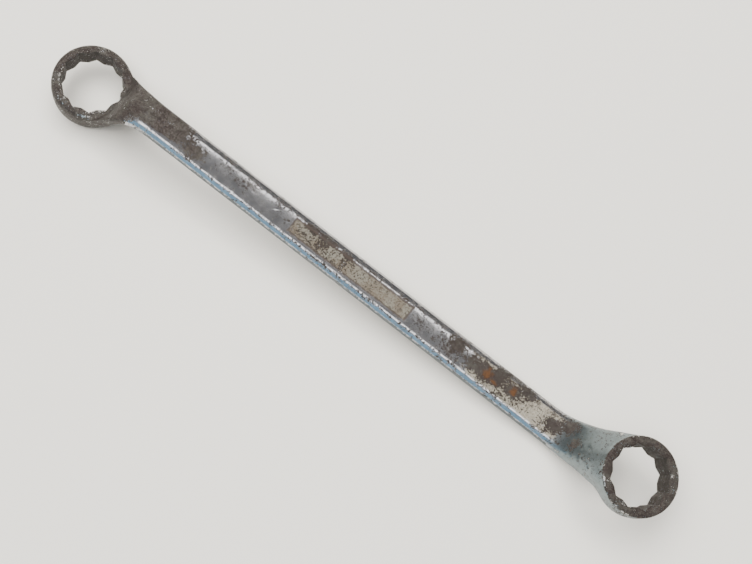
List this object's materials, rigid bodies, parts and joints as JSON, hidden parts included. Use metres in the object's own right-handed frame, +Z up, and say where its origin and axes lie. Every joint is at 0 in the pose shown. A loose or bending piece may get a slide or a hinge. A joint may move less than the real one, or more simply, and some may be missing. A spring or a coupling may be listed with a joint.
{
  "type": "ring spanner",
  "caption": "Deep-offset ring spanner: a slim flat shank with a recessed panel, and bi-hex rings of unequal size cranked to opposite sides at its ends.",
  "frame": {"origin": "middle of the outline on the bench on which the spanner lies", "axes": "+X along the spanner from the large ring to the small ring, +Y across it, +Z up from the bench"},
  "size_m": [0.3136, 0.035, 0.027],
  "materials": {
    "plated_steel": "worn plating over forged steel, with brown patina on the rings and small pits"
  },
  "bodies": {
    "root": {"ring_spanner_forging": "plated_steel"}
  },
  "joints": []
}
